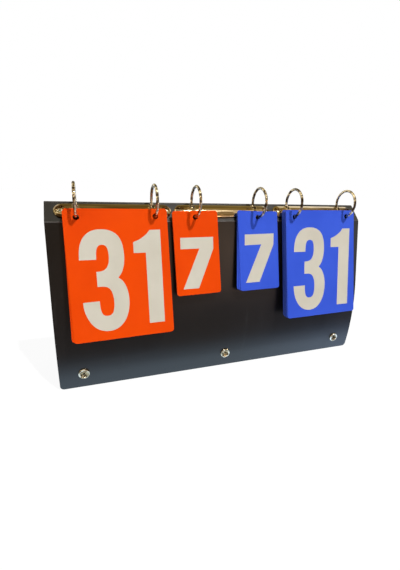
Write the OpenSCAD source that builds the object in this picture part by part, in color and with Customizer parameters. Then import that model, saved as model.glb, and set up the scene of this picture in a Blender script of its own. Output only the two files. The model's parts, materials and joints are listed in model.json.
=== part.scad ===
// Tabletop flip scoreboard: a folded plastic stand, three two-ring mechanisms
// and four stacks of number leaves that turn over the rings.
// Units are millimetres. X runs to the right, Y to the back and Z up from the table.

/* [Stand] */
// distance from the board's left end to the left cover
left_margin = 8.7; // [4:0.1:20]
// distance from the right cover to the board's right end
right_margin = 9.6; // [4:0.1:20]
// thickness of the plastic sheet
sheet_t = 1.2; // [0.8:0.1:2]
// lean of the upper front panel back from upright, degrees
lean = 8; // [4:0.5:20]
// turn of the ring strip back from the front panel, degrees
strip_bend = 33.2; // [20:0.1:60]
// width of the ring strip between its two folds
strip_len = 24.6; // [20:0.1:40]
// lean of the back panel from upright, degrees
back_lean = 15; // [8:0.5:30]
// straight upper stretch of the front panel, down from the front fold
flat_drop = 81.7; // [40:0.1:120]
// radius of the bow in the lower front panel
bow_r = 310; // [200:1:600]
// height of the front fold above the table
fold_z = 179.4; // [120:0.1:220]
// corner radius at the foot of the front panel
foot_corner_r = 4.5; // [1:0.5:15]
// rounding at the ends of a fold
fold_end_r = 0.4; // [0.1:0.1:1]
// play between a fold and the panels that meet it
fold_gap = 0.05; // [0.02:0.01:0.2]

/* [Closure flap] */
// height of the closure flap along its curve
flap_len = 36; // [24:1:60]
// distance that the flap's ends stand in from the panel's ends
flap_inset = 4; // [0:0.5:20]
// corner radius at the top of the flap
flap_corner_r = 7; // [1:0.5:15]
// clear space between the front panel and the flap
flap_gap = 3; // [2.4:0.1:5]

/* [Press studs] */
// height of the press studs above the table
stud_z = 17.6; // [12:0.1:24]
// distance of an outer stud from the board's end
stud_in = 25.4; // [15:0.1:60]
// outer radius of the rolled cap ring
cap_r = 6; // [4:0.1:8]
// radius of the roll on the cap ring
cap_roll_r = 1.05; // [0.6:0.05:1.6]
// bore down the middle of the cap
cap_bore_r = 1.15; // [0.6:0.05:1.6]
// outer radius of the cap's barrel through the sheet
barrel_r = 2.1; // [1.5:0.1:3]
// outer radius of the socket behind the front panel
socket_r = 5.5; // [4:0.1:8]
// thickness of the socket
socket_t = 2; // [1.5:0.1:3]
// inner radius of the socket
socket_bore_r = 2.45; // [2:0.05:3]
// radius of the stud's ball
ball_r = 1.65; // [1.2:0.05:2]
// outer radius of the stud's foot
stud_foot_r = 5.2; // [4:0.1:8]
// thickness of the stud's foot
stud_foot_t = 0.7; // [0.4:0.05:1.2]
// outer radius of the post's disc behind the flap
post_r = 4.3; // [3:0.1:6]
// thickness of the post's disc
post_t = 0.8; // [0.4:0.1:1.5]
// play under a flat disc that lies in the hollow of the bow
disc_play = 0.06; // [0.02:0.01:0.1]

/* [Ring mechanisms] */
// distance between the two rings of a mechanism
ring_pitch = 77.5; // [60:0.1:90]
// gap between the left and the middle cover
left_gap = 4.1; // [1:0.1:12]
// gap between the middle and the right cover
right_gap = 5.6; // [1:0.1:12]
// distance of the rings from the front fold, along the strip
ring_line = 12.4; // [9:0.1:16]
// height of the ring centre above the strip
ring_h = 17.9; // [15:0.1:24]
// radius of the ring, to the middle of its wire
ring_r = 15.9; // [12:0.1:20]
// radius of the ring wire
wire_r = 1.55; // [1:0.05:2]
// angle from the strip at which the ring's foot starts
foot_angle = 8.5; // [6:0.1:12]
// how far each half ring opens, degrees
open_angle = 12; // [4:0.5:12]
// how far the cover runs on past a ring
cover_past = 20.75; // [18:0.05:26]
// how far a carrier blade runs on past a ring
blade_past = 3; // [2:0.1:5]
// half width of the cover plate
cover_half_w = 8.25; // [8.1:0.05:9]
// height of the cover's upright side
cover_side_h = 2; // [1.6:0.1:2.6]
// height of the cover's crown
crown_h = 4.8; // [4.4:0.1:6]
// thickness of the cover's metal
cover_t = 0.8; // [0.5:0.05:1]
// radius of the flat floor of the dimple in each end of the cover
dimple_r = 3.9; // [3.8:0.1:4.5]
// how much wider the dimple is at its mouth
dimple_flare = 1.2; // [0.4:0.1:2]
// radius of the ribs beside the wires
rib_r = 0.5; // [0.3:0.05:0.8]
// distance of a rib from its wire
rib_gap = 0.7; // [0.4:0.05:1]
// thickness of a carrier blade
blade_t = 0.8; // [0.5:0.05:1]
// play around the wires, blades and rivets
fit_gap = 0.15; // [0.05:0.01:0.3]
// distance of a rivet from the end of the cover
rivet_in = 5.7; // [5:0.1:7]
// radius of the rivet's shank
rivet_r = 1.7; // [1.2:0.1:2.2]
// radius of the rivet's rolled head
rivet_head_r = 3.1; // [2.6:0.1:4]
// radius of the washer behind the strip
washer_r = 4; // [3.5:0.1:6]

/* [Number leaves] */
// distance from a score leaf's hole to its side edge
score_side = 12.25; // [8:0.05:16]
// height of a score leaf
score_h = 131; // [100:0.5:145]
// width of a set leaf
set_w = 52; // [40:0.5:56]
// height of a set leaf
set_h = 92; // [60:0.5:110]
// corner radius of a leaf
leaf_corner_r = 3; // [1:0.5:6]
// thickness of one leaf
leaf_t = 0.5; // [0.3:0.05:0.8]
// air between two leaves
leaf_gap = 0.3; // [0.2:0.05:0.5]
// radius of a leaf's hole
hole_r = 3; // [2.6:0.1:4]
// distance from the top edge of a score leaf to the middle of its holes
score_hole_down = 7.4; // [6:0.1:10]
// distance from the top edge of a set leaf to the middle of its hole
set_hole_down = 6.7; // [6:0.1:10]
// how far a score leaf's holes hang below the wire's middle
score_hang = 0.25; // [0.1:0.05:0.6]
// how far a set leaf's hole hangs below the wire's middle
set_hang = 0.9; // [0.1:0.05:0.9]
// swing of the hanging leaves out from the front panel, degrees
leaf_swing = 2.8; // [0:0.1:4]
// distance of the front score leaf's face from the front panel, before it swings out
score_front = 9.3; // [9:0.1:13]
// distance of the front set leaf's face from the front panel, before it swings out
set_front = 3.9; // [3.7:0.1:8]
// thickness of a bundle of leaves in a score stack
score_bundle = 1.25; // [1:0.05:1.4]
// thickness of a bundle of leaves in a set stack
set_bundle = 1.0; // [0.6:0.1:1.2]
// turn of the orange score's front leaf in its own plane, degrees
orange_score_turn = 1; // [0:0.1:1.2]
// turn of the orange set's leaves in their own plane, degrees
orange_set_turn = 1.2; // [0:0.1:2.5]
// turn of the blue set's front leaf in its own plane, degrees
blue_set_turn = 0.9; // [0:0.1:2.5]
// turn from one part of the blue set's stack to the next, which fans it out, degrees
blue_set_fan = 1.4; // [0:0.1:3]
// turn of the blue score's front leaf in its own plane, degrees
blue_score_turn = 0.5; // [0:0.1:1.2]
// share of a score's front leaf's turn that its second leaf keeps
follow_share = 0.45; // [0:0.05:1]

/* [Hidden] */
$fn = 48;
// the covers and the space round them give the board's width and the places along it
cover_len = ring_pitch + 2 * cover_past;
board_w = 3 * cover_len + left_gap + right_gap + left_margin + right_margin;
left_x = left_margin + cover_len / 2 - board_w / 2;
mid_x = left_x + cover_len + left_gap;
right_x = mid_x + cover_len + right_gap;
stud_pitch = board_w / 2 - stud_in;
score_w = ring_pitch + 2 * score_side;
// the front fold: the outer corner of the sheet is the front panel's own origin
fold_down = sheet_t * tan(strip_bend / 2);
fold_y = sheet_t * cos(lean) - fold_down * sin(lean);
fold_ax_z = fold_z - sheet_t * sin(lean) - fold_down * cos(lean);
strip_lean = lean + strip_bend;
rear_y = fold_y + strip_len * sin(strip_lean);
rear_z = fold_ax_z + strip_len * cos(strip_lean);
// the back panel and the base
back_len = (rear_z - sheet_t) / cos(back_lean);
base_rear_y = rear_y + back_len * sin(back_lean);
// the bow of the lower front panel: its centre lies behind the stand
bow_y = bow_r * cos(lean) - flat_drop * sin(lean);
bow_z = fold_z - flat_drop * cos(lean) - bow_r * sin(lean);
foot_turn = asin(bow_z / bow_r);
stud_turn = asin((bow_z - stud_z) / bow_r);
flap_out_r = bow_r - sheet_t - flap_gap;
flap_in_r = flap_out_r - sheet_t;
flap_turn = asin((bow_z - sheet_t) / flap_in_r);
flap_top_turn = flap_turn - flap_len / flap_in_r * 180 / PI;
base_front_y = bow_y - flap_in_r * cos(flap_turn);
// the ring centre, seen from the front panel: up along it and out from it
reach = sheet_t + ring_h;
ring_v = ring_line * cos(strip_bend) + reach * sin(strip_bend) - fold_down;
ring_w = reach * cos(strip_bend) - ring_line * sin(strip_bend) - sheet_t;
// the hinge line of a half ring, out from the mechanism's middle line
pivot_y = cover_half_w - cover_t - fit_gap - 0.2;
blade_z = 0.6;
blade_out = cover_half_w - cover_t - fit_gap;
rivet_x = cover_len / 2 - rivet_in;
cover_z = 0.05;
cover_inner_w = cover_half_w - cover_t;
// circle of the cover's arch, from its side height and crown
arch_rise = crown_h - cover_side_h;
arch_r = (cover_half_w * cover_half_w + arch_rise * arch_rise) / (2 * arch_rise);
// half lengths of the cover between its round ends, and of a blade
cover_half = cover_len / 2 - cover_half_w;
blade_half = ring_pitch / 2 + blade_past;
// half the angle of a rib over the arch
rib_turn = asin((cover_half_w - 0.5) / arch_r);
steel = [0.78, 0.79, 0.8];
gold = [0.86, 0.62, 0.26];
black = [0.06, 0.06, 0.07];
orange = [0.93, 0.25, 0.02];
blue = [0.1, 0.18, 0.75];

// frames

// X along the board, Z up the front panel, minus Y out of its face
module on_panel() {
  translate([0, 0, fold_z]) rotate([-lean, 0, 0]) children();
}

// Z up the ring strip from its front fold, minus Y out of its face
module on_strip() {
  translate([0, fold_y, fold_ax_z]) rotate([-strip_lean, 0, 0]) children();
}

// Z out of the strip's face at the middle of a mechanism, Y up the strip
module on_mechanism(x) {
  on_strip() translate([x, -sheet_t, ring_line]) rotate([90, 0, 0]) children();
}

// a radial line of the bow: minus Y is out of the panel, Z up along it
module on_bow(turn) {
  translate([0, bow_y, bow_z]) rotate([turn, 0, 0]) children();
}

// the face of a press stud: Z out of the front panel's face
module on_stud(i) {
  on_bow(stud_turn)
    translate([i * stud_pitch, -bow_r, 0]) rotate([90, 0, 0]) children();
}

// shapes

// a rectangle with round corners, its lower left corner at the origin
module round_rect(w, h, r) {
  translate([r, 0]) square([w - 2 * r, h]);
  translate([0, r]) square([w, h - 2 * r]);
  for (x = [r, w - r], y = [r, h - r]) translate([x, y]) circle(r = r);
}

// a bar along X, its middle on the origin
module bar(r, len) {
  rotate([0, 90, 0]) cylinder(r = r, h = len, center = true);
}

// the bead of a fold, with small rounds at its ends
module fold_bead() {
  flat = board_w - 2 * fold_end_r;
  core = sheet_t - fold_end_r;
  translate([-board_w / 2, 0, 0]) rotate([0, 90, 0]) rotate_extrude() {
    square([core, board_w]);
    translate([0, fold_end_r]) square([sheet_t, flat]);
    for (z = [fold_end_r, board_w - fold_end_r])
      intersection() {
        translate([core, z]) circle(r = fold_end_r);
        square([sheet_t, board_w]);
      }
  }
}

// room that a panel leaves for a fold's bead
module fold_room() {
  bar(sheet_t + fold_gap, board_w + 2);
}

// a sheet of width w seen square on, round at its lower corners, 60 deep
module outline(w, h, r) {
  translate([-w / 2, -bow_r + 50, 0]) rotate([90, 0, 0]) linear_extrude(60) round_rect(w, h, r);
}

// a section, drawn with X to the back and Y up, drawn out along the board
module along_board(len) {
  translate([-len / 2, 0, 0]) rotate([90, 0, 90]) linear_extrude(len) children();
}

// the section of a round bow, its centre on the origin
module bow_section(out_r, in_r) {
  difference() {
    circle(r = out_r, $fn = 720);
    circle(r = in_r, $fn = 720);
  }
}

// stand

module base_panel() {
  color(black) difference() {
    translate([-board_w / 2, base_front_y, 0])
      cube([board_w, base_rear_y - base_front_y, sheet_t]);
    translate([0, base_front_y, sheet_t]) fold_room();
    translate([0, base_rear_y, sheet_t]) fold_room();
  }
}

module back_panel() {
  color(black) difference() {
    translate([-board_w / 2, base_rear_y, sheet_t]) rotate([back_lean, 0, 0])
      cube([board_w, sheet_t, back_len]);
    translate([0, base_rear_y, sheet_t]) fold_room();
    translate([0, rear_y, rear_z]) fold_room();
  }
}

module ring_strip() {
  color(black) difference() {
    on_strip() translate([-board_w / 2, -sheet_t, 0]) cube([board_w, sheet_t, strip_len]);
    on_strip() fold_room();
    translate([0, rear_y, rear_z]) fold_room();
    for (x = [left_x, mid_x, right_x], s = [-1, 1])
      on_mechanism(x + s * rivet_x) cylinder(r = rivet_r + 0.05, h = 10, center = true);
  }
}

module front_panel() {
  color(black) difference() {
    intersection() {
      on_panel() along_board(board_w + 4) {
        translate([0, -flat_drop]) square([sheet_t, flat_drop - fold_down]);
        translate([bow_r, -flat_drop]) intersection() {
          bow_section(bow_r, bow_r - sheet_t);
          translate([-bow_r - 5, -fold_z]) square([60, fold_z]);
        }
      }
      on_bow(foot_turn) outline(board_w, fold_z + 50, foot_corner_r);
    }
    on_strip() fold_room();
    for (i = [-1, 0, 1]) on_stud(i) cylinder(r = barrel_r + 0.05, h = 10, center = true);
  }
}

module closure_flap() {
  flap_w = board_w - 2 * flap_inset;
  color(black) difference() {
    intersection() {
      on_bow(0) along_board(flap_w + 4) intersection() {
        bow_section(flap_out_r, flap_in_r);
        rotate(flap_turn) translate([-bow_r, 0]) square([60, flap_len + 30]);
      }
      on_bow(flap_top_turn) mirror([0, 0, 1]) outline(flap_w, flap_len + 24, flap_corner_r);
    }
    translate([0, base_front_y, sheet_t]) fold_room();
    for (i = [-1, 0, 1]) on_stud(i) cylinder(r = 1.75, h = 30, center = true);
  }
}

module front_top_fold() {
  color(black) on_strip() fold_bead();
}

module rear_top_fold() {
  color(black) translate([0, rear_y, rear_z]) fold_bead();
}

module rear_base_fold() {
  color(black) translate([0, base_rear_y, sheet_t]) fold_bead();
}

module front_base_fold() {
  color(black) translate([0, base_front_y, sheet_t]) fold_bead();
}

// press studs, all turned about the stud's own axis

module at_studs() {
  for (i = [-1, 0, 1]) on_stud(i) children();
}

// rolled rim that lies on the front panel
module snap_rims() {
  color(steel) at_studs() rotate_extrude() difference() {
    union() {
      translate([cap_r - cap_roll_r, 0.8]) circle(r = cap_roll_r);
      translate([cap_r - 2 * cap_roll_r, 0]) square([2 * cap_roll_r, 0.8]);
    }
    translate([cap_r - cap_roll_r, 0.75]) circle(r = cap_roll_r - 0.45);
    translate([0, -5]) square([20, 5.02]);
  }
}

// pressed cup inside the rim, with the barrel that goes through the sheet
module snap_cups() {
  cup_r = cap_r - 2 * cap_roll_r - 0.05;
  color(gold) at_studs() rotate_extrude() {
    translate([cap_bore_r, 0.02]) square([cup_r - cap_bore_r, 0.4]);
    translate([cap_bore_r, -sheet_t]) square([barrel_r - cap_bore_r, sheet_t + 0.4]);
    translate([cup_r - 0.4, 0.02]) square([0.4, 1.1]);
    translate([barrel_r, 0.42]) difference() {
      square([0.5, 0.5]);
      translate([0.5, 0.5]) circle(r = 0.5);
    }
  }
}

// socket behind the front panel
module snap_sockets() {
  color(steel) at_studs() translate([0, 0, -sheet_t - socket_t - disc_play]) rotate_extrude()
    difference() {
      union() {
        square([socket_r - 0.6, socket_t]);
        translate([0, 0.6]) square([socket_r, socket_t - 0.6]);
        translate([socket_r - 0.6, 0.6]) circle(r = 0.6);
      }
      translate([-1, -1]) square([socket_bore_r + 1, 2.5]);
      translate([-1, -1]) square([cap_bore_r + 1, socket_t + 2]);
      translate([3.2, -0.35]) square([1, 1]);
    }
}

// stud in front of the flap: a foot and a ball
module snap_studs() {
  foot_z = -sheet_t - flap_gap;
  top_z = foot_z + stud_foot_t;
  color(steel) at_studs() {
    difference() {
      union() {
        translate([0, 0, foot_z]) cylinder(r = stud_foot_r, h = stud_foot_t);
        translate([0, 0, top_z - 0.05]) sphere(r = ball_r);
      }
      translate([0, 0, foot_z - 5]) cylinder(r = 20, h = 5);
    }
  }
}

// post behind the flap, its barrel through the flap up to the stud
module snap_posts() {
  back_z = -2 * sheet_t - flap_gap - disc_play;
  color(steel) at_studs() rotate_extrude() {
    translate([0.8, back_z - post_t]) square([post_r - 0.8 - post_t / 2, post_t]);
    translate([post_r - post_t / 2, back_z - post_t / 2]) circle(r = post_t / 2);
    translate([0.8, back_z - post_t]) square([0.9, post_t + sheet_t + disc_play]);
  }
}

// ring mechanisms

// half of the cover's section, from the middle line outwards
module cover_half_section(w, top, low) {
  r = (w * w + (top - cover_side_h) * (top - cover_side_h)) / (2 * (top - cover_side_h));
  intersection() {
    translate([0, low]) square([w, top - low + 1]);
    union() {
      translate([0, low]) square([w, cover_side_h - low]);
      intersection() {
        translate([0, top - r]) circle(r = r, $fn = 96);
        translate([0, cover_side_h]) square([w, top]);
      }
    }
  }
}

module cover_section(w, top, low) {
  cover_half_section(w, top, low);
  mirror([1, 0]) cover_half_section(w, top, low);
}

module cover_body(w, top, low, half) {
  translate([-half, 0, 0]) rotate([90, 0, 90])
    linear_extrude(2 * half) cover_section(w, top, low);
  for (s = [-1, 1]) translate([s * half, 0, 0])
    rotate_extrude() cover_half_section(w, top, low);
}

module cover_plate(x) {
  color(gold) on_mechanism(x) difference() {
    union() {
      difference() {
        cover_body(cover_half_w, crown_h, cover_z, cover_half);
        cover_body(cover_inner_w, crown_h - cover_t, -1, cover_half);
      }
      // the skin of a dimple round each rivet
      intersection() {
        cover_body(cover_half_w, crown_h, cover_z, cover_half);
        for (s = [-1, 1]) translate([s * rivet_x, 0, cover_z])
          cylinder(r1 = dimple_r + cover_t, r2 = dimple_r + cover_t + dimple_flare, h = crown_h);
      }
      // ribs over the arch, one on each side of a wire
      for (s = [-1, 1], t = [-1, 1])
        translate([s * ring_pitch / 2 + t * (wire_r + rib_gap + rib_r), 0, crown_h - arch_r])
          rotate([0, 90, 0]) rotate([0, 0, 180 - rib_turn]) rotate_extrude(angle = 2 * rib_turn)
            translate([arch_r - 0.1, 0]) circle(r = rib_r, $fn = 24);
      // curled lips that hold the outer edges of the blades
      for (s = [-1, 1])
        translate([-blade_half + 1.7, s * (cover_inner_w - 0.65) - 0.75, cover_z])
          cube([2 * blade_half - 3.4, 1.5, 0.4]);
    }
    for (s = [-1, 1]) {
      translate([s * rivet_x, 0, cover_z + cover_t])
        cylinder(r1 = dimple_r, r2 = dimple_r + dimple_flare, h = crown_h);
      translate([s * rivet_x, 0, -1]) cylinder(r = rivet_r + 0.05, h = 5);
      // slots where the wires leave the cover
      for (t = [-1, 1])
        translate([s * ring_pitch / 2 - wire_r - rib_gap, t > 0 ? 1.3 : -10, 1.5])
          cube([2 * (wire_r + rib_gap), 8.7, 8]);
    }
  }
}

// a carrier blade on the upper side, with a window round each wire's foot
module blade(x, side) {
  color(steel) on_mechanism(x) mirror([0, side < 0 ? 1 : 0, 0]) difference() {
    translate([-blade_half, fit_gap, blade_z])
      cube([2 * blade_half, blade_out - fit_gap, blade_t]);
    for (s = [-1, 1])
      translate([s * ring_pitch / 2 - wire_r - fit_gap, 1.6, 0])
        cube([2 * (wire_r + fit_gap), 5.1, 4]);
  }
}

// the two half rings of one side, each with the foot staked into its blade
module half_rings(x, side) {
  color(steel) on_mechanism(x) mirror([0, side < 0 ? 1 : 0, 0])
    for (s = [-1, 1]) translate([s * ring_pitch / 2, 0, 0]) {
      translate([0, 0, ring_h]) rotate([0, 90, 0]) rotate([0, 0, foot_angle])
        rotate_extrude(angle = 180 - foot_angle - 0.2, $fn = 96)
          translate([ring_r, 0]) circle(r = wire_r, $fn = 24);
      translate([-wire_r, 1.75, blade_z]) cube([2 * wire_r, 3.6, blade_t]);
    }
}

module left_cover_plate() { cover_plate(left_x); }
module left_lower_blade() { blade(left_x, -1); }
module left_lower_rings() { half_rings(left_x, -1); }
module left_upper_blade() { blade(left_x, 1); }
module left_upper_rings() { half_rings(left_x, 1); }
module middle_cover_plate() { cover_plate(mid_x); }
module middle_lower_blade() { blade(mid_x, -1); }
module middle_lower_rings() { half_rings(mid_x, -1); }
module middle_upper_blade() { blade(mid_x, 1); }
module middle_upper_rings() { half_rings(mid_x, 1); }
module right_cover_plate() { cover_plate(right_x); }
module right_lower_blade() { blade(right_x, -1); }
module right_lower_rings() { half_rings(right_x, -1); }
module right_upper_blade() { blade(right_x, 1); }
module right_upper_rings() { half_rings(right_x, 1); }

// tubular rivets, one at each end of each cover
module mounting_rivets() {
  top = cover_z + cover_t;
  low = -sheet_t - 0.5;
  color(steel)
    for (x = [left_x, mid_x, right_x], s = [-1, 1])
      on_mechanism(x + s * rivet_x) rotate_extrude() {
        translate([1, low - 0.6]) square([rivet_r - 1, top - low + 1.2]);
        difference() {
          translate([rivet_r, top]) square([rivet_head_r - rivet_r, 0.9]);
          translate([rivet_head_r, top + 0.9]) circle(r = 0.55);
        }
        translate([1, low - 0.7]) square([1.8, 0.7]);
      }
}

module backing_washers() {
  color(steel)
    for (x = [left_x, mid_x, right_x], s = [-1, 1])
      on_mechanism(x + s * rivet_x) difference() {
        translate([0, 0, -sheet_t - 0.5]) cylinder(r = washer_r, h = 0.5);
        cylinder(r = rivet_r + 0.05, h = 10, center = true);
      }
}

// number leaves

// height of a hole's middle for a leaf whose middle lies at w from the panel
function hole_v(w, hang) = ring_v - sqrt(pow(ring_r + hang, 2) - pow(w - ring_w, 2));

// a leaf hangs swung out about the ring centre
module swung_out() {
  on_panel() translate([0, -ring_w, ring_v]) rotate([-leaf_swing, 0, 0])
    translate([0, ring_w, -ring_v]) children();
}

// leaf or bundle: front face at w, thickness t, a turn in its own plane about v
module leaf(x, w, t, wide, high, down, v, holes, turn) {
  swung_out() translate([x, t - w, v]) rotate([90, 0, 0]) rotate([0, 0, turn])
    linear_extrude(t) difference() {
      translate([-wide / 2, down - high]) round_rect(wide, high, leaf_corner_r);
      for (h = holes) translate([h, 0]) circle(r = hole_r);
    }
}

// the room that a front leaf takes from the stack behind it
leaf_step = leaf_t + leaf_gap;

// a score leaf or bundle, thickness t, its face the given depth behind the front one's
module score_piece(x, depth, t, turn) {
  w = score_front - depth;
  leaf(x, w, t, score_w, score_h, score_hole_down, hole_v(w - t / 2, score_hang),
    [-ring_pitch / 2, ring_pitch / 2], turn);
}

module score_bundles(x) {
  step = score_bundle + 0.25;
  for (i = [0:4]) score_piece(x, 2 * leaf_step + i * step, score_bundle, 0);
}

module set_piece(x, depth, t, turn) {
  w = set_front - depth;
  leaf(x, w, t, set_w, set_h, set_hole_down, hole_v(w - t / 2, set_hang), [0], turn);
}

orange_set_x = mid_x - ring_pitch / 2;
blue_set_x = mid_x + ring_pitch / 2;

module orange_score_front_leaf() {
  color(orange) score_piece(left_x, 0, leaf_t, orange_score_turn);
}
module orange_score_second_leaf() {
  color(orange) score_piece(left_x, leaf_step, leaf_t, orange_score_turn * follow_share);
}
module orange_score_stack() { color(orange) score_bundles(left_x); }
module orange_set_front_leaf() {
  color(orange) set_piece(orange_set_x, 0, leaf_t, orange_set_turn);
}
module orange_set_second_leaf() {
  color(orange) set_piece(orange_set_x, leaf_step, leaf_t, orange_set_turn);
}
module orange_set_stack() {
  color(orange) set_piece(orange_set_x, 2 * leaf_step, set_bundle, orange_set_turn);
}
module blue_set_front_leaf() {
  color(blue) set_piece(blue_set_x, 0, leaf_t, blue_set_turn);
}
module blue_set_second_leaf() {
  color(blue) set_piece(blue_set_x, leaf_step, leaf_t, blue_set_turn - blue_set_fan);
}
module blue_set_stack() {
  color(blue)
    set_piece(blue_set_x, 2 * leaf_step, set_bundle, blue_set_turn - 2 * blue_set_fan);
}
module blue_score_front_leaf() {
  color(blue) score_piece(right_x, 0, leaf_t, blue_score_turn);
}
module blue_score_second_leaf() {
  color(blue) score_piece(right_x, leaf_step, leaf_t, blue_score_turn * follow_share);
}
module blue_score_stack() { color(blue) score_bundles(right_x); }

base_panel();
closure_flap();
back_panel();
ring_strip();
front_panel();
front_top_fold();
rear_top_fold();
rear_base_fold();
front_base_fold();
snap_rims();
snap_cups();
snap_sockets();
snap_studs();
snap_posts();
left_cover_plate();
left_lower_blade();
left_lower_rings();
left_upper_blade();
left_upper_rings();
middle_cover_plate();
middle_lower_blade();
middle_lower_rings();
middle_upper_blade();
middle_upper_rings();
right_cover_plate();
right_lower_blade();
right_lower_rings();
right_upper_blade();
right_upper_rings();
mounting_rivets();
backing_washers();
orange_score_front_leaf();
orange_score_second_leaf();
orange_score_stack();
orange_set_front_leaf();
orange_set_second_leaf();
orange_set_stack();
blue_set_front_leaf();
blue_set_second_leaf();
blue_set_stack();
blue_score_front_leaf();
blue_score_second_leaf();
blue_score_stack();
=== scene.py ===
import json
import math

import bmesh
import bpy
from mathutils import Matrix, Vector


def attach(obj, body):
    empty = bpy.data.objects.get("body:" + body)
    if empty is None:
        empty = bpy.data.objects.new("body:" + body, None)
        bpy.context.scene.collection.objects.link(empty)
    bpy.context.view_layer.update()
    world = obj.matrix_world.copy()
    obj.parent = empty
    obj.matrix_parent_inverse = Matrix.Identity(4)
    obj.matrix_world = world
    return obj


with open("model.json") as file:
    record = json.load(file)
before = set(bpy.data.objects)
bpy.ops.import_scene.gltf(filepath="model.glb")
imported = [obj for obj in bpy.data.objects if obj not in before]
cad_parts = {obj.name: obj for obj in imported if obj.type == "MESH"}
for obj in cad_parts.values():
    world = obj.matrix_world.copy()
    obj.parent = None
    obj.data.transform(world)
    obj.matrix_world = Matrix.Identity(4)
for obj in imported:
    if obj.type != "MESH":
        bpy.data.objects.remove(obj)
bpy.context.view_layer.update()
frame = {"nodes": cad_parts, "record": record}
nodes = frame["nodes"]

# The stand's own numbers, in millimetres, as in the CAD source. u runs along the board, v up
# the front panel from its top fold, and w out of its front face.
LEAN = math.radians(8)  # the front panel, back from upright
FOLD_Z = 179.4  # height of the front top fold
SHEET = 1.2  # thickness of the board
RING_PITCH = 77.5
# leaves: width, how far the front face stands out, the holes' place below the top edge, and
# how far the holes lie outside the rings' middle line
SCORE = {"w": 102, "face": 9.3, "down": 7.4, "hang": 0.25}
SET = {"w": 52, "face": 3.9, "down": 6.7, "hang": 0.9}
STRIP = math.radians(33.2)  # the ring strip, back from the front panel
# the rings' centre line: its place up the strip and its height over it, and the rings' radius
RING_LINE, RING_H, RING_R = 12.4, 17.9, 15.9
REACH = SHEET + RING_H
FOLD_DOWN = SHEET * math.tan(STRIP / 2)
RING_V = RING_LINE * math.cos(STRIP) + REACH * math.sin(STRIP) - FOLD_DOWN
RING_W = REACH * math.cos(STRIP) - RING_LINE * math.sin(STRIP) - SHEET
SWING = math.radians(2.8)  # the hanging leaves, out from the panel
LEAF_T, LEAF_GAP = 0.5, 0.3
LEFT_X, MID_X, RIGHT_X = -124.3, -1.2, 123.4  # middles of the three ring mechanisms


def leaned(v, w):
    """y and z of a step v up and w out of the front panel."""
    c, s = math.cos(LEAN), math.sin(LEAN)
    return v * s - w * c, v * c + w * s


def panel_vector(step):
    """A step along u, v and w in the world's axes."""
    return Vector((step[0], *leaned(step[1], step[2])))


def on_panel(u, v, w):
    """A point u along, v up and w out of the upper front panel, in metres."""
    y, z = leaned(v, w)
    return Vector((u, y, FOLD_Z + z)) / 1000


def on_leaf(u, v, w):
    """The same point after the hanging leaves' swing out about the ring centre, in metres."""
    down, out = v - RING_V, w - RING_W
    c, s = math.cos(SWING), math.sin(SWING)
    return on_panel(u, RING_V + down * c + out * s, RING_W + out * c - down * s)


# shader trees

WHITE, NO_LIGHT = (1, 1, 1), (0, 0, 0)


class Tree:
    """A small helper that adds nodes to one shader tree."""

    def __init__(self, tree):
        self.tree = tree

    def add(self, kind, **props):
        node = self.tree.nodes.new(kind)
        for key, value in props.items():
            setattr(node, key, value)
        return node

    def link(self, a, b):
        self.tree.links.new(a, b)

    def feed(self, sockets, values):
        """Set each socket to its number or colour, or link its output to it."""
        for socket, value in zip(sockets, values):
            if isinstance(value, (int, float)):
                socket.default_value = value
            elif isinstance(value, tuple):
                socket.default_value = (*value, 1)
            else:
                self.link(value, socket)

    def ramp(self, fac, stops):
        """A colour for each value of fac, between the stops."""
        node = self.add("ShaderNodeValToRGB")
        elements = node.color_ramp.elements
        while len(elements) < len(stops):
            elements.new(0.5)
        for element, (pos, colour) in zip(elements, stops):
            element.position = pos
            element.color = (*colour, 1)
        self.link(fac, node.inputs["Fac"])
        return node.outputs["Color"]

    def span(self, fac, over, to=(0.0, 1.0)):
        """fac's values over one range, spread to another and held at its ends."""
        node = self.add("ShaderNodeMapRange")
        names = ("From Min", "From Max", "To Min", "To Max", "Value")
        self.feed([node.inputs[name] for name in names], (*over, *to, fac))
        return node.outputs["Result"]

    def math(self, operation, *values):
        node = self.add("ShaderNodeMath", operation=operation)
        self.feed(node.inputs, values)
        return node.outputs[0]

    def dot(self, vector, direction):
        node = self.add("ShaderNodeVectorMath", operation="DOT_PRODUCT")
        self.link(vector, node.inputs[0])
        node.inputs[1].default_value = direction
        return node.outputs["Value"]

    def split(self, vector):
        node = self.add("ShaderNodeSeparateXYZ")
        self.link(vector, node.inputs["Vector"])
        return node.outputs

    def mix(self, fac, a, b):
        """Colour a, or colour b where fac is one."""
        node = self.add("ShaderNodeMix", data_type="RGBA")
        self.feed([s for s in node.inputs if s.enabled], (fac, a, b))
        return next(s for s in node.outputs if s.enabled)

    def glow(self, kind, colour, strength):
        """An emission or a background of one colour and strength."""
        node = self.add(kind)
        self.feed((node.inputs["Color"], node.inputs["Strength"]), (colour, strength))
        return node.outputs[0]

    def switch(self, fac, a, b):
        """Shader a, or shader b where fac is one."""
        node = self.add("ShaderNodeMixShader")
        self.feed(node.inputs, (fac, a, b))
        return node.outputs["Shader"]


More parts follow.
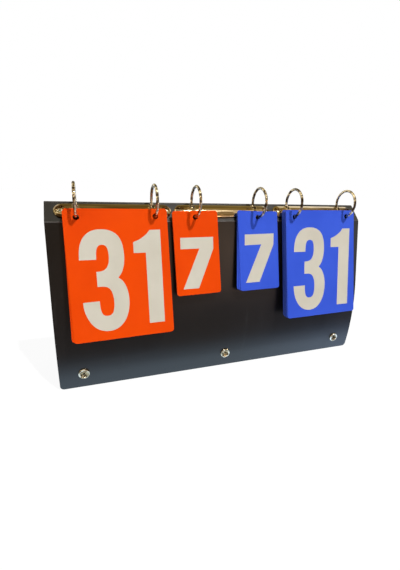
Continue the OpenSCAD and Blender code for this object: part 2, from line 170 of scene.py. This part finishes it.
class Material(Tree):
    """The tree of a new material, with its main shader and its object coordinates."""

    def __init__(self, name):
        self.mat = bpy.data.materials.new(name)
        self.mat.use_nodes = True
        super().__init__(self.mat.node_tree)
        self.bsdf = next(n for n in self.tree.nodes if n.type == "BSDF_PRINCIPLED")
        self.coord = self.add("ShaderNodeTexCoord").outputs["Object"]

    def surface(self, **values):
        """Set or link inputs of the main shader."""
        self.feed([self.bsdf.inputs[key.replace("_", " ")] for key in values], values.values())

    def noise(self, scale, detail=4.0, stretch=(1, 1, 1), rough=0.5):
        mapping = self.add("ShaderNodeMapping")
        mapping.inputs["Scale"].default_value = stretch
        self.link(self.coord, mapping.inputs["Vector"])
        tex = self.add("ShaderNodeTexNoise")
        sockets = [tex.inputs[key] for key in ("Scale", "Detail", "Roughness", "Vector")]
        self.feed(sockets, (scale, detail, rough, mapping.outputs["Vector"]))
        return tex.outputs["Fac"]

    def bump(self, height, strength, distance):
        node = self.add("ShaderNodeBump")
        sockets = [node.inputs[key] for key in ("Strength", "Distance", "Height")]
        self.feed(sockets, (strength, distance, height))
        self.surface(Normal=node.outputs["Normal"])


# materials: noise scales are per metre and bump distances in metres

MOST = LOW, HIGH = 0.3, 0.7  # where most of a noise's values lie
SHEET_DARK, SHEET_PALE = (0.0042, 0.0036, 0.0034), (0.0064, 0.0055, 0.0052)
SCUFF = (0.02, 0.02, 0.021)
SHEET_ROUGH = (0.27, 0.36)
LEAF_LINES = 0.00062  # metres from one line to the next on a bundle's cut edges
LEAF_ROUGH, INK_ROUGH = (0.36, 0.5), (0.45, 0.6)
INK_DULL, INK_BRIGHT = (0.61, 0.57, 0.475), (0.67, 0.635, 0.54)


def toned(colour, factor):
    """The colour, lighter or darker by a factor."""
    return tuple(c * factor for c in colour)


def sheet_material(name, light=1.0, rougher=0.0):
    """Satin black plastic sheet: fine leather-like grain, rubbed patches and thin scuffs."""
    m = Material(name)
    blotch = m.noise(scale=9, detail=3)
    base = m.ramp(blotch, [(LOW, toned(SHEET_DARK, light)), (HIGH, toned(SHEET_PALE, light))])
    scuff = m.noise(scale=55, detail=6, stretch=(1, 1, 0.12), rough=0.65)
    colour = m.mix(m.span(scuff, over=(0.64, 0.8)), base, SCUFF)
    rubbed = m.span(blotch, over=MOST, to=tuple(r + rougher for r in SHEET_ROUGH))
    rough = m.math("ADD", rubbed, m.span(scuff, over=MOST, to=(-0.03, 0.05)))
    m.surface(Base_Color=colour, Roughness=rough, Specular_IOR_Level=0.5, IOR=1.49)
    m.bump(m.noise(scale=1500, detail=3), strength=0.12, distance=0.0003)
    return m.mat


def leaf_material(name, light, dark, edge, between):
    """Coloured plastic leaf: slight mottling and fine grain.

    Cut edges show the edge's tone, with the lines between leaves in the dark tone times between;
    on the front leaves the pale edge tone and a between above one are a painted highlight along
    the edges.
    """
    m = Material(name)
    face = m.ramp(m.noise(scale=16, detail=4), [(LOW, dark), (HIGH, light)])
    out = panel_vector((0, math.sin(SWING), math.cos(SWING)))
    wave = m.math("SINE", m.math("MULTIPLY", m.dot(m.coord, out), 2 * math.pi / LEAF_LINES))
    line = m.span(wave, over=(-0.3, 0.9))
    facing = m.dot(m.add("ShaderNodeTexCoord").outputs["Normal"], out)
    side = m.span(m.math("ABSOLUTE", facing), over=(0.4, 0.7), to=(1.0, 0.0))
    colour = m.mix(side, face, m.mix(line, toned(dark, between), edge))
    rough = m.span(m.noise(scale=40, detail=5), over=MOST, to=LEAF_ROUGH)
    m.surface(Base_Color=colour, Roughness=rough, Specular_IOR_Level=0.07)
    m.bump(m.noise(scale=900, detail=3), strength=0.08, distance=0.0002)
    return m.mat


def ink_material():
    """Off-white screen ink, a little uneven."""
    m = Material("white_ink")
    colour = m.ramp(m.noise(scale=28, detail=4), [(LOW, INK_DULL), (HIGH, INK_BRIGHT)])
    rough = m.span(m.noise(scale=120, detail=3), over=MOST, to=INK_ROUGH)
    m.surface(Base_Color=colour, Roughness=rough)
    m.bump(m.noise(scale=1400, detail=2), strength=0.1, distance=0.0002)
    return m.mat


def metal_material(name, bright, dark_tone, rough, dents, patches=90, stretch=(1, 1, 1)):
    """Plated metal: patchy dark and bright tone, fine polishing lines and a slightly uneven
    surface; on the rings and the covers the patches are painted reflections.
    """
    m = Material(name)
    # the patches: random tone on most metals; on the rings painted reflections of dark and bright
    # facets, on the covers painted reflections of streaks
    patch = m.noise(scale=patches, detail=3, stretch=stretch)
    colour = m.ramp(patch, [(0.42, dark_tone), (0.6, bright)])
    lines = m.noise(scale=420, detail=5, stretch=stretch, rough=0.7)
    m.surface(Base_Color=colour, Roughness=m.span(lines, over=MOST, to=rough), Metallic=1.0)
    uneven = m.noise(scale=420, detail=1, stretch=stretch)
    height = m.math("ADD", uneven, m.math("MULTIPLY", lines, 0.05))
    m.bump(height, strength=dents, distance=0.0012)
    return m.mat


ORANGE_TONES = (0.89, 0.074, 0.0008), (0.8, 0.058, 0.0008)
BLUE_TONES = (0.05, 0.119, 0.74), (0.038, 0.094, 0.65)
# FRONT, above one, makes the lines on the front leaves' edges lighter than the dark tone, part of
# their painted edge highlight
BUNDLE, FRONT = 0.45, 1.3  # the lines on the cut edges, as a share of the dark tone

BLACK = sheet_material("satin_black_sheet")
# the folds: nine times lighter, partly crease whitening and partly a painted highlight where the
# fold beads catch the light, and a little rougher
CREASE = sheet_material("whitened_crease_painted_highlight", light=9.0, rougher=0.08)
ORANGE = leaf_material("orange_leaf", *ORANGE_TONES, (0.95, 0.2, 0.05), BUNDLE)
BLUE = leaf_material("blue_leaf", *BLUE_TONES, (0.12, 0.2, 0.8), BUNDLE)
# front leaves: the pale edge tone and the lighter lines are a painted highlight along their cut
# edges
ORANGE_FRONT_PAINTED_EDGE = leaf_material("orange_front_leaf_painted_edge_highlight", *ORANGE_TONES, (1.0, 0.5, 0.3), FRONT)
BLUE_FRONT_PAINTED_EDGE = leaf_material("blue_front_leaf_painted_edge_highlight", *BLUE_TONES, (0.35, 0.5, 1.0), FRONT)
INK = ink_material()
# the rings' near-black and pale patches are painted reflections that stand in for dark and bright
# facets
NICKEL = metal_material(
    "nickel_plate_painted_facets", (0.97, 0.83, 0.57), (0.07, 0.045, 0.018), (0.05, 0.13), dents=1.0, patches=220
)
EYELET = metal_material(
    "bright_eyelet", (0.92, 0.88, 0.76), (0.55, 0.47, 0.32), (0.1, 0.24), dents=0.5, patches=150
)
RIM = metal_material(
    "dulled_eyelet", (0.74, 0.68, 0.55), (0.3, 0.24, 0.15), (0.14, 0.3), dents=0.8, patches=320
)
# the covers' dark and bright streaks along their length are painted reflections
GOLD = metal_material(
    "brassed_steel_painted_streaks", (0.68, 0.55, 0.33), (0.24, 0.16, 0.07), (0.06, 0.16), dents=0.35,
    stretch=(0.1, 1, 1),
)
CUP = metal_material(
    "aged_brass", (0.55, 0.44, 0.26), (0.09, 0.06, 0.03), (0.16, 0.34), dents=0.8, patches=420
)
ZINC = metal_material("zinc_plate", (0.72, 0.72, 0.7), (0.5, 0.5, 0.49), (0.22, 0.4), dents=0.2)

SLOT_MATERIAL = {
    "black_sheet": BLACK,
    "orange_leaf": ORANGE,
    "blue_leaf": BLUE,
    "nickel": NICKEL,
    "gold_plate": GOLD,
    "brass_cup": CUP,
    "zinc": ZINC,
}
# nodes whose material differs from the rest of their slot: folds lighter with crease whitening
# and a painted highlight, duller snap rims, brighter rivets, and front leaves with a painted
# highlight along their edges
BY_ENDING = {
    "_fold": CREASE,
    "snap_rims": RIM,
    "mounting_rivets": EYELET,
    "orange_score_front_leaf": ORANGE_FRONT_PAINTED_EDGE,
    "orange_set_front_leaf": ORANGE_FRONT_PAINTED_EDGE,
    "blue_set_front_leaf": BLUE_FRONT_PAINTED_EDGE,
    "blue_score_front_leaf": BLUE_FRONT_PAINTED_EDGE,
}
slot_of = {s["node"]: s["material_slot"] for s in frame["record"]["subparts"]}
for name, obj in nodes.items():
    obj.data.materials.clear()
    special = [m for end, m in BY_ENDING.items() if name.endswith(end)]
    obj.data.materials.append((special or [SLOT_MATERIAL[slot_of[name]]])[0])


# the printed numbers

SAME_POINT = 0.05  # millimetres
INK_FROM, INK_TO = 0.004, 0.055  # millimetres out of the leaf's face


def smooth(points, steps=6):
    """Points along a smooth curve through the given ones, without the last."""
    before = tuple(2 * a - b for a, b in zip(points[0], points[1]))
    after = tuple(2 * a - b for a, b in zip(points[-1], points[-2]))
    line = [before, *points, after]
    out = []
    for quad in zip(line, line[1:], line[2:], line[3:]):
        for t in (k / steps for k in range(steps)):
            out.append(tuple(
                0.5 * (
                    2 * b
                    + (c - a) * t
                    + (2 * a - 5 * b + 4 * c - d) * t * t
                    + (3 * b - a - 3 * c + d) * t**3
                )
                for a, b, c, d in zip(*quad)
            ))
    return out


def apart(p, q):
    """How far two points are apart, along and down together."""
    return abs(p[0] - q[0]) + abs(p[1] - q[1])


def outline(*runs):
    """A closed outline: each run is a smooth curve, and runs meet at corners."""
    points = []
    for run, following in zip(runs, runs[1:] + runs[:1]):
        points += smooth(run) if len(run) > 2 else [run[0]]
        if len(run) == 2 or run[-1] != following[0]:
            points.append(run[-1])
    kept = []
    for q in points:
        if not kept or apart(q, kept[-1]) > SAME_POINT:
            kept.append(q)
    if apart(kept[0], kept[-1]) < SAME_POINT:
        kept.pop()
    return kept


def squarish_round(cx, cy, rx, ry, power=2.4, count=40):
    """A squarish round outline, as in a condensed nought."""
    out = []
    for i in range(count):
        a = 2 * math.pi * i / count
        c, s = math.cos(a), math.sin(a)
        out.append((
            cx + rx * math.copysign(abs(c) ** (2 / power), c),
            cy + ry * math.copysign(abs(s) ** (2 / power), s),
        ))
    return out


# x and y in millimetres from the top left corner of a score leaf
THREE = [
    outline(
        [
            (10.2, 49.2), (10.5, 42.4), (11.5, 36.0), (13.5, 30.4), (16.7, 25.7), (21.0, 22.2),
            (26.2, 20.2), (32.2, 19.6), (38.0, 20.1), (43.2, 21.8), (47.6, 24.8), (50.8, 29.1),
            (52.8, 34.5), (53.8, 40.6), (54.1, 47.1), (53.6, 53.4), (52.3, 59.1), (50.1, 64.2),
            (46.9, 68.4),
        ],
        [
            (46.9, 68.4), (50.3, 71.2), (53.0, 75.3), (55.0, 80.5), (56.2, 86.5), (56.5, 93.0),
            (55.9, 99.7), (54.3, 106.2), (51.7, 111.9), (48.1, 116.6), (43.8, 119.9),
            (39.0, 121.7), (34.0, 122.2), (29.0, 121.5), (24.0, 119.4), (19.6, 115.8),
            (15.9, 110.7), (13.1, 104.7), (11.4, 98.2), (10.7, 91.2),
        ],
        [
            (26.9, 90.9), (27.0, 96.0), (27.7, 101.0), (29.2, 104.5), (31.6, 106.2),
            (34.5, 106.5), (37.3, 105.7), (39.5, 103.2), (40.7, 98.8), (41.1, 93.6),
            (40.8, 88.2), (39.8, 83.3), (37.9, 79.6), (35.2, 77.4), (31.6, 76.5), (25.8, 76.4),
        ],
        [
            (25.7, 61.4), (30.2, 61.0), (33.8, 59.8), (36.5, 57.1), (38.2, 52.7), (38.8, 47.4),
            (38.5, 42.2), (37.6, 38.1), (36.0, 35.8), (33.5, 34.8), (30.8, 35.0), (28.7, 36.4),
            (27.3, 39.2), (26.7, 43.4), (26.5, 49.3),
        ],
    )
]
ONE = [
    outline(
        [(64.1, 44.4), (64.1, 33.3)],
        [(64.1, 33.3), (70.0, 31.0), (75.1, 27.9), (79.0, 24.7), (81.7, 21.3)],
        [(93.1, 21.2), (93.0, 118.8)],
        [(76.5, 118.8), (76.6, 44.4)],
    )
]
# a nought is wider than a one, so the three beside it stands a little further left
MAKES_ROOM = 3.5
THIRTY = [
    [(x - MAKES_ROOM, y) for x, y in THREE[0]],
    squarish_round(77.6, 70.6, 19.2, 51.6),
    squarish_round(77.6, 70.6, 4.9, 36.5),
]
# x and y in millimetres from the top left corner of a set leaf
SEVEN = [
    outline(
        [(6.4, 27.0), (44.8, 26.9)],
        [(44.7, 39.9), (26.1, 83.6)],
        [(8.0, 83.6), (28.1, 39.3)],
        [(6.3, 39.4), (6.4, 27.0)],
    )
]
SIX = [
    outline(
        [
            (44.0, 44.5), (43.2, 38.5), (40.6, 32.6), (36.0, 28.2), (29.5, 26.3), (22.0, 26.4),
            (15.2, 29.2), (10.6, 34.8), (8.0, 43.0), (7.2, 54.0), (7.7, 65.0), (9.7, 74.0),
            (13.6, 80.3), (19.4, 83.8), (26.0, 84.6), (32.6, 83.6), (38.5, 80.0), (42.8, 74.2),
            (44.6, 66.8), (44.2, 59.4), (41.2, 53.2), (36.2, 49.6), (30.2, 48.8), (24.6, 50.4),
            (20.9, 53.4),
        ],
        [
            (20.9, 53.4), (20.8, 46.6), (21.8, 41.6), (24.0, 38.8), (27.0, 38.6), (29.4, 40.6),
            (30.2, 44.5),
        ],
    ),
    squarish_round(25.7, 66.6, 5.4, 8.2, power=2.3, count=28),
]
FITTED_ABOUT = 0.6875  # down the leaf, as a share of its width


def printed(name, outlines, leaf, middle, index, body, turn, fit):
    """The ink of a number on the front face of a leaf: the outlines, raised a little.

    index is the leaf's place in its stack, and turn its turn in its own plane. fit sets the
    print on its leaf: shift along and down, widening, slant and slope.
    """
    along, down, wider, slant, slope = fit
    face = leaf["face"] - index * (LEAF_T + LEAF_GAP)
    reach = RING_R + leaf["hang"]
    hole_v = RING_V - math.sqrt(reach**2 - (face - LEAF_T / 2 - RING_W) ** 2)
    low, high = face + INK_FROM, face + INK_TO
    c, s = math.cos(turn), math.sin(turn)
    bm = bmesh.new()
    edges = []
    for ring in outlines:
        verts = []
        for x, y in ring:
            from_mid, from_top = x - leaf["w"] / 2, y - FITTED_ABOUT * leaf["w"]
            x += along + wider * from_mid + slant * from_top
            y += down + slope * from_mid
            # about the leaf's hole line, so a turned leaf takes its ink with it
            a, b = x - leaf["w"] / 2, leaf["down"] - y
            place = on_leaf(middle + a * c - b * s, hole_v + a * s + b * c, low)
            verts.append(bm.verts.new(place))
        edges += [bm.edges.new(pair) for pair in zip(verts, verts[1:] + verts[:1])]
    fill = bmesh.ops.triangle_fill(bm, use_beauty=True, use_dissolve=False, edges=edges)
    faces = [g for g in fill["geom"] if isinstance(g, bmesh.types.BMFace)]
    lift = bmesh.ops.extrude_face_region(bm, geom=faces)
    moved = [g for g in lift["geom"] if isinstance(g, bmesh.types.BMVert)]
    bmesh.ops.translate(bm, vec=on_leaf(0, 0, high) - on_leaf(0, 0, low), verts=moved)
    bmesh.ops.recalc_face_normals(bm, faces=bm.faces)
    mesh = bpy.data.meshes.new(name)
    bm.to_mesh(mesh)
    bm.free()
    mesh.materials.append(INK)
    obj = bpy.data.objects.new(name, mesh)
    bpy.context.scene.collection.objects.link(obj)
    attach(obj, body)


# each stack's leaf and middle, the numbers of its front and second leaf, the turns of those
# two leaves in degrees, and the fit of the print
SCORES, SETS = (THREE + ONE, THIRTY), (SEVEN, SIX)
STACKS = [
    ("orange_score", SCORE, LEFT_X, SCORES, (1.0, 0.45),
     (0.53, -0.1, -0.0124, -0.011, 0.0074)),
    ("orange_set", SET, MID_X - RING_PITCH / 2, SETS, (1.2, 1.2),
     (0.47, 1.56, 0, -0.0226, 0.012)),
    ("blue_set", SET, MID_X + RING_PITCH / 2, SETS, (0.9, -0.5),
     (1.21, -0.76, 0, -0.0417, 0)),
    ("blue_score", SCORE, RIGHT_X, SCORES, (0.5, 0.225),
     (-0.4, 1.0, 0.0098, -0.042, 0.015)),
]
for stack, leaf, middle, (first, second), turns, fit in STACKS:
    turn, next_turn = (math.radians(t) for t in turns)
    printed(f"{stack}_number", first, leaf, middle, 0, f"{stack}_leaf", turn, fit)
    printed(f"{stack}_next_number", second, leaf, middle, 1, f"{stack}_pack", next_turn, fit)


# the studio

FLOOR_SIZE, FLOOR_Z = 40, -0.0003  # metres, and just clear of the base panel
FLOOR_GREY = (0.55, 0.55, 0.55)
FLOOR_GLOW, GLOW_SHARE = 1.13, 0.82  # mixed into the floor's shading for the camera alone
FLOOR_SHEEN = 1.7  # what shiny surfaces see of it
WORLD_LIGHT, WORLD_GROUND, WORLD_ROOM = 0.34, 1.0, 2.3  # for matte, camera and glossy rays


def studio_floor():
    """A pale floor that keeps the shadow, with its own sheen for shiny surfaces."""
    bpy.ops.mesh.primitive_plane_add(size=FLOOR_SIZE, location=(0, 0, FLOOR_Z))
    floor = bpy.context.object
    floor.name = "floor"
    m = Material("pale_floor")
    m.surface(Roughness=0.9, Specular_IOR_Level=0.1, Base_Color=FLOOR_GREY)
    path = m.add("ShaderNodeLightPath").outputs
    glow = m.glow("ShaderNodeEmission", WHITE, FLOOR_GLOW)
    seen = m.math("MULTIPLY", path["Is Camera Ray"], GLOW_SHARE)
    ground = m.switch(seen, m.bsdf.outputs["BSDF"], glow)
    # shiny surfaces see the floor pale at the stand's foot, and darker ahead, behind and far left
    place = m.split(m.coord)
    slant = m.math("ADD", place["Y"], m.math("MULTIPLY", place["X"], 0.02))
    behind = m.span(place["Y"], over=(0.05, 0.11), to=(1, 0.55))
    near = m.math("MULTIPLY", m.span(slant, over=(-0.078, -0.027)), behind)
    left = m.ramp(
        near, [(0.0, (0.22, 0.19, 0.18)), (0.5, (0.4, 0.48, 0.58)), (1.0, (0.76, 0.97, 1.18))]
    )
    right = m.ramp(
        near, [(0.0, (0.16, 0.16, 0.2)), (0.5, (0.22, 0.31, 0.53)), (1.0, (0.82, 1.08, 1.52))]
    )
    across = m.mix(m.span(place["X"], over=(0.02, 0.24)), left, right)
    colour = m.mix(m.span(place["X"], over=(-0.32, -0.22)), (0.06, 0.035, 0.02), across)
    sheen = m.glow("ShaderNodeEmission", colour, FLOOR_SHEEN)
    out = next(n for n in m.tree.nodes if n.type == "OUTPUT_MATERIAL")
    m.link(m.switch(path["Is Glossy Ray"], ground, sheen), out.inputs["Surface"])
    floor.data.materials.append(m.mat)


def studio_world():
    """White to the camera, an even light to matte surfaces, and a room to shiny ones."""
    world = bpy.data.worlds.new("studio")
    bpy.context.scene.world = world
    world.use_nodes = True
    w = Tree(world.node_tree)
    for n in list(w.tree.nodes):
        w.tree.nodes.remove(n)
    way = w.split(w.add("ShaderNodeTexCoord").outputs["Generated"])
    # the direction's parts, each with the range that its bands span
    across, back, up = (way["X"], -1, 1), (way["Y"], -1, 1), (way["Z"], 0, 1)
    # the angle from straight up towards the viewer, which stays the same along a cover
    angle = w.math("ARCTAN2", w.math("MULTIPLY", way["Y"], -1), way["Z"])

    def band(value, low, high, stops):
        """Colours over a part of the direction, at stops between low and high."""
        places = [((pos - low) / (high - low), colour) for pos, colour in stops]
        return w.ramp(w.span(value, over=(low, high)), places)

    def step(value, low, high, begin, end):
        """Nothing up to begin and all from end."""
        return band(value, low, high, [(begin, NO_LIGHT), (end, WHITE)])

    # What shiny surfaces see ahead: low down, dark on the left and lit in the middle and on the
    # right; higher up, a wide light part on the left and far right, and a narrow one between.
    low = band(*across, [
        (-1.0, (0.1, 0.06, 0.03)), (0.02, (0.07, 0.03, 0.012)), (0.38, (1.4, 0.85, 0.52)),
        (0.68, (0.6, 0.66, 0.76)), (1.0, (0.6, 0.66, 0.76)),
    ])
    high = band(*up, [
        (0.0, (0.05, 0.03, 0.014)), (0.42, (0.06, 0.04, 0.02)), (0.53, (0.95, 0.87, 0.66)),
        (0.84, (1.0, 0.95, 0.82)), (0.92, (0.17, 0.15, 0.06)), (1.0, (0.14, 0.13, 0.06)),
    ])
    arch = band(angle, -0.6, 1.6, [
        (-0.15, (0.17, 0.12, 0.045)), (0.2, (0.13, 0.1, 0.04)), (0.29, (0.13, 0.1, 0.04)),
        (0.37, (0.52, 0.46, 0.42)), (0.5, (0.52, 0.46, 0.42)), (0.6, (0.13, 0.09, 0.048)),
        (1.6, (0.13, 0.09, 0.048)),
    ])
    middle = w.mix(step(*across, -0.15, 0.0), high, arch)
    upper = w.mix(step(*across, 0.68, 0.78), middle, high)
    ahead = w.mix(step(*up, 0.08, 0.24), low, upper)
    # behind: light low down and dark above, and lighter towards the sides
    plain = band(*up, [
        (0.0, (0.42, 0.42, 0.4)), (0.35, (0.12, 0.1, 0.045)), (1.0, (0.16, 0.125, 0.045)),
    ])
    rear = band(angle, -1.2, 0, [
        (-1.1, (0.72, 0.7, 0.66)), (-0.55, (0.72, 0.7, 0.66)), (-0.35, (0.14, 0.11, 0.06)),
    ])
    sides = band(*across, [
        (-0.3, toned(WHITE, 0.55)), (-0.18, NO_LIGHT),
        (0.48, NO_LIGHT), (0.6, toned(WHITE, 0.85)),
    ])
    behind = w.mix(sides, plain, rear)
    room_colour = w.mix(step(*back, -0.1, 0.15), ahead, behind)

    matte = w.glow("ShaderNodeBackground", WHITE, WORLD_LIGHT)
    ground = w.glow("ShaderNodeBackground", WHITE, WORLD_GROUND)
    room = w.glow("ShaderNodeBackground", room_colour, WORLD_ROOM)
    path = w.add("ShaderNodeLightPath").outputs
    by_gloss = w.switch(path["Is Glossy Ray"], matte, room)
    by_camera = w.switch(path["Is Camera Ray"], by_gloss, ground)
    w.link(by_camera, w.add("ShaderNodeOutputWorld").inputs["Surface"])


KEY_FROM = Vector((0.27, -0.5, 0.82))
KEY_POWER, KEY_SPREAD, KEY_COLOUR = 2.5, math.radians(1.5), (1.0, 0.98, 0.95)
FILL_AT, FILL_AIM = Vector((-1.3, -1.6, 0.9)), Vector((0, 0, 0.1))
FILL_POWER, FILL_SIZE = 5, (1.4, 1.0)


def lamp(name, kind, power, shines_from):
    """A lamp that shines from the given direction."""
    data = bpy.data.lights.new(name, kind)
    data.energy = power
    obj = bpy.data.objects.new(name, data)
    obj.rotation_mode = "QUATERNION"
    obj.rotation_quaternion = shines_from.to_track_quat("Z", "Y")
    bpy.context.scene.collection.objects.link(obj)
    return obj


def lamps():
    """A sun for the shadow, and a soft fill from the left front."""
    key = lamp("key", "SUN", KEY_POWER, KEY_FROM)
    key.data.angle = KEY_SPREAD
    key.data.color = KEY_COLOUR
    fill = lamp("fill", "AREA", FILL_POWER, FILL_AT - FILL_AIM)
    fill.data.shape = "RECTANGLE"
    fill.data.size, fill.data.size_y = FILL_SIZE
    fill.location = FILL_AT
    fill.visible_glossy = False


# the photograph's camera, in the panel's own directions: place in millimetres, turns in radians
# and focal length in pixels
CAMERA_AT = (-155.646, -17.725, 350.75)
CAMERA_TURNS = {"Z": -0.023, "Y": -0.335, "X": -0.138}
FOCAL_PIXELS, LONG_SIDE_PIXELS, SENSOR = 325.524, 570, 36


def camera():
    """The photograph's view."""
    data = bpy.data.cameras.new("camera")
    data.sensor_fit = "AUTO"
    data.sensor_width = SENSOR
    # the long side of the photograph's frame takes the sensor's width
    data.lens = FOCAL_PIXELS / LONG_SIDE_PIXELS * SENSOR
    data.clip_start, data.clip_end = 0.01, 100
    turn = Matrix.Identity(3)
    for axis, angle in CAMERA_TURNS.items():
        turn = turn @ Matrix.Rotation(angle, 3, axis)
    axes = Matrix([panel_vector(column) for column in turn.col]).transposed()
    cam = bpy.data.objects.new("camera", data)
    cam.matrix_world = Matrix.Translation(on_panel(*CAMERA_AT)) @ axes.to_4x4()
    bpy.context.scene.collection.objects.link(cam)
    bpy.context.scene.camera = cam


studio_floor()
studio_world()
lamps()
camera()
bpy.context.scene.view_settings.view_transform = "Standard"
